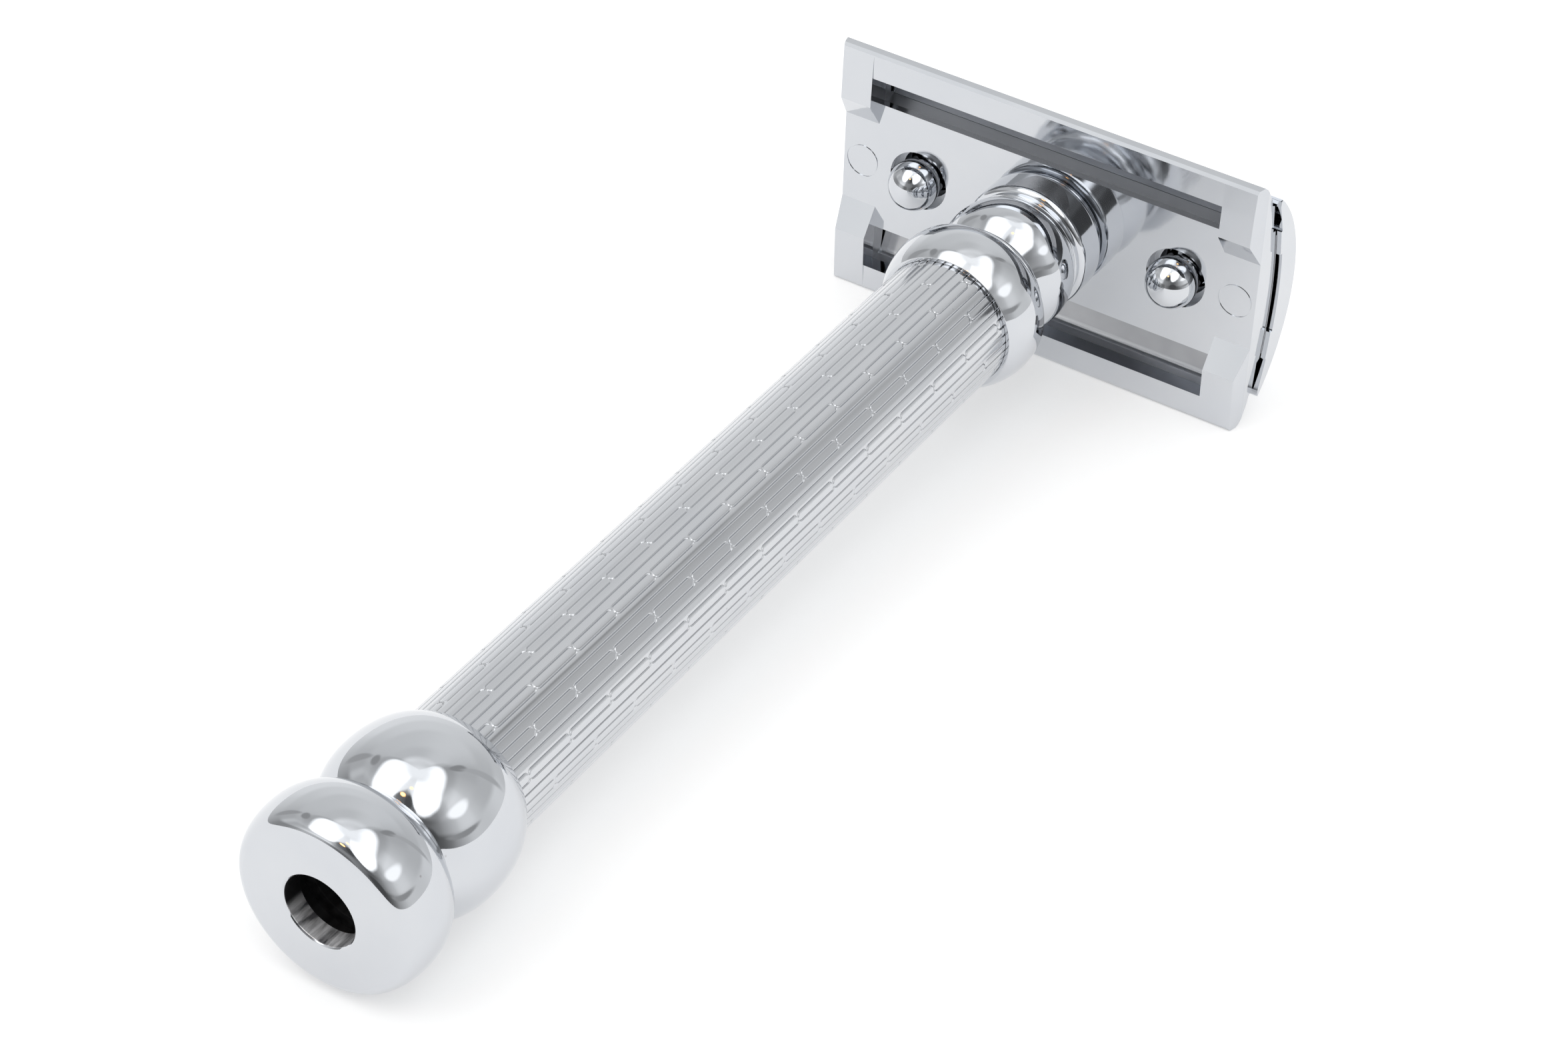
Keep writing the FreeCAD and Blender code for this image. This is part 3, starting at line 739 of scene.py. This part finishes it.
# azimuth, height, half width, half height, value
WINDOWS = [(-88, 35, 26, 8, 1.5), (-30, 50, 6, 10, .36), (-32, 26, 4, 26, .56), (-171, 46, 8, 12, .10),
           (-96, 11, 32, 4, .38), (93, 42, 12, 6, .38), (86, 22, 6, 18, .46), (-148, 13, 18, 12, .09)]
LAMPS = [(177, 52, 3.4, (6.0, 2.9, 1.0)), (-172, 66, 2.4, (4.0, 2.3, 1.1))]

world = bpy.data.worlds.new("studio")
scene.world = world
world.use_nodes = True
wt = world.node_tree
WN, WL = wt.nodes, wt.links
WN.clear()


def wmath(op, a, b=None, c=None, clamp=False):
    n = WN.new("ShaderNodeMath")
    n.operation = op
    n.use_clamp = clamp
    for i, v in enumerate((a, b, c)):
        if v is None:
            continue
        if isinstance(v, (int, float)):
            n.inputs[i].default_value = v
        else:
            WL.new(v, n.inputs[i])
    return n.outputs[0]


def wstep(value, lo, hi):
    n = WN.new("ShaderNodeMapRange")
    n.interpolation_type = "SMOOTHSTEP"
    n.inputs["From Min"].default_value = lo
    n.inputs["From Max"].default_value = hi
    WL.new(value, n.inputs["Value"])
    return n.outputs[0]


wco = WN.new("ShaderNodeTexCoord")
wsep = WN.new("ShaderNodeSeparateXYZ")
WL.new(wco.outputs["Generated"], wsep.inputs[0])
az = wmath("MULTIPLY", wmath("ARCTAN2", wsep.outputs["Y"], wsep.outputs["X"]), 180 / math.pi)
el = wmath("MULTIPLY", wmath("ARCSINE", wsep.outputs["Z"]), 180 / math.pi)


def round_curve(points, top):
    """A smooth curve over azimuth, scaled to the range 0 to top."""
    n = WN.new("ShaderNodeFloatCurve")
    cv = n.mapping.curves[0]
    xy = [((a + 180) / 360, v / top) for a, v in points]
    cv.points[0].location, cv.points[1].location = xy[0], xy[-1]
    for q in xy[1:-1]:
        cv.points.new(*q)
    n.mapping.update()
    WL.new(wmath("ADD", wmath("MULTIPLY", az, 1 / 360), 0.5), n.inputs["Value"])
    return wmath("MULTIPLY", n.outputs[0], float(top))


def wmix(mask, low, high):
    n = WN.new("ShaderNodeMix")
    n.data_type = "FLOAT"
    WL.new(mask, n.inputs["Factor"])
    for key, v in (("A", low), ("B", high)):
        if isinstance(v, (int, float)):
            n.inputs[key].default_value = v
        else:
            WL.new(v, n.inputs[key])
    return n.outputs["Result"]


def wedge(value, lo, hi):
    """Smooth step between two limits that may themselves vary."""
    n = WN.new("ShaderNodeMapRange")
    n.interpolation_type = "SMOOTHSTEP"
    for key, v in (("From Min", lo), ("From Max", hi)):
        if isinstance(v, (int, float)):
            n.inputs[key].default_value = v
        else:
            WL.new(v, n.inputs[key])
    WL.new(value, n.inputs["Value"])
    return n.outputs[0]


level = round_curve(WALL_LOW, 2.0)
for ring, lo, hi in ((WALL_MID, 11, 18), (WALL_HIGH, 28, 36), (WALL_TOP, 51, 60), (ROOF, 65, 73)):
    level = wmix(wedge(el, lo, hi), level, round_curve(ring, 2.0))
level = wmix(wedge(el, 74, 86), level, ZENITH)
edge = round_curve(BAND_EDGE, 90)
under = wmath("MULTIPLY", wedge(el, wmath("SUBTRACT", edge, 15.0), wmath("SUBTRACT", edge, 7.0)),
              wmath("SUBTRACT", 1.0, wedge(el, wmath("SUBTRACT", edge, 4.0), edge)))
level = wmath("MULTIPLY", level, wmath("SUBTRACT", 1.0, wmath("MULTIPLY", under, 0.16)))
lit = wmath("MULTIPLY", wedge(el, wmath("SUBTRACT", edge, 3.5), wmath("ADD", edge, 3.5)), wmath("SUBTRACT", 1.0, wedge(el, 70.0, 83.0)))
level = wmix(lit, level, round_curve(BAND, 2.5))
for wa, we, hw, hh, value in WINDOWS:
    da = wmath("MULTIPLY", wmath("WRAP", wmath("SUBTRACT", az, float(wa)), 180.0, -180.0), 1 / hw)
    de = wmath("MULTIPLY", wmath("SUBTRACT", el, float(we)), 1 / hh)
    far = wmath("SQRT", wmath("ADD", wmath("MULTIPLY", da, da), wmath("MULTIPLY", de, de)))
    level = wmix(wedge(far, 1.0, 0.55), level, value)
col = WN.new("ShaderNodeCombineColor")
for i, k in enumerate((0.985, 0.995, 1.0)):
    WL.new(wmath("MULTIPLY", level, k), col.inputs[i])
colour = col.outputs[0]
for la, le, lr, lc in LAMPS:
    d = (math.cos(math.radians(le)) * math.cos(math.radians(la)), math.cos(math.radians(le)) * math.sin(math.radians(la)), math.sin(math.radians(le)))
    dot = WN.new("ShaderNodeVectorMath")
    dot.operation = "DOT_PRODUCT"
    WL.new(wco.outputs["Generated"], dot.inputs[0])
    dot.inputs[1].default_value = d
    mask = wstep(dot.outputs["Value"], math.cos(math.radians(lr)), math.cos(math.radians(lr * 0.6)))
    mix = WN.new("ShaderNodeMix")
    mix.data_type = "RGBA"
    WL.new(mask, mix.inputs["Factor"])
    WL.new(colour, mix.inputs["A"])
    mix.inputs["B"].default_value = (*lc, 1)
    colour = mix.outputs["Result"]
tent = WN.new("ShaderNodeBackground")
WL.new(colour, tent.inputs["Color"])
plain = WN.new("ShaderNodeBackground")
plain.inputs["Color"].default_value = (1, 1, 1, 1)
plain.inputs["Strength"].default_value = 1.05
seen = WN.new("ShaderNodeLightPath")
both = WN.new("ShaderNodeMixShader")
WL.new(seen.outputs["Is Camera Ray"], both.inputs["Fac"])
WL.new(tent.outputs[0], both.inputs[1])
WL.new(plain.outputs[0], both.inputs[2])
wout = WN.new("ShaderNodeOutputWorld")
WL.new(both.outputs[0], wout.inputs["Surface"])
world.cycles.sampling_method = "MANUAL"
world.cycles.sample_map_resolution = 1024

# ------------------------------------------------------------------ camera
cam_data = bpy.data.cameras.new("camera")
cam = bpy.data.objects.new("camera", cam_data)
scene.collection.objects.link(cam)
right = Vector((0.5370062773812906, -0.8418730902916345, 0.05360930792224425))
up = Vector((0.48030853639436366, 0.35738064174673567, 0.8009886308627581))
back = Vector((-0.6934897028217454, -0.40438691465909854, 0.596274479860326))
cam.matrix_world = Matrix((
    (right.x, up.x, back.x, -0.2245009510541285),
    (right.y, up.y, back.y, -0.1349098046069632),
    (right.z, up.z, back.z, 0.20465197277718847),
    (0, 0, 0, 1)))
cam_data.sensor_width = 36.0
cam_data.lens = 91.54451458256119
cam_data.clip_start = 0.01
cam_data.clip_end = 20.0
scene.camera = cam

scene.view_settings.view_transform = "Standard"
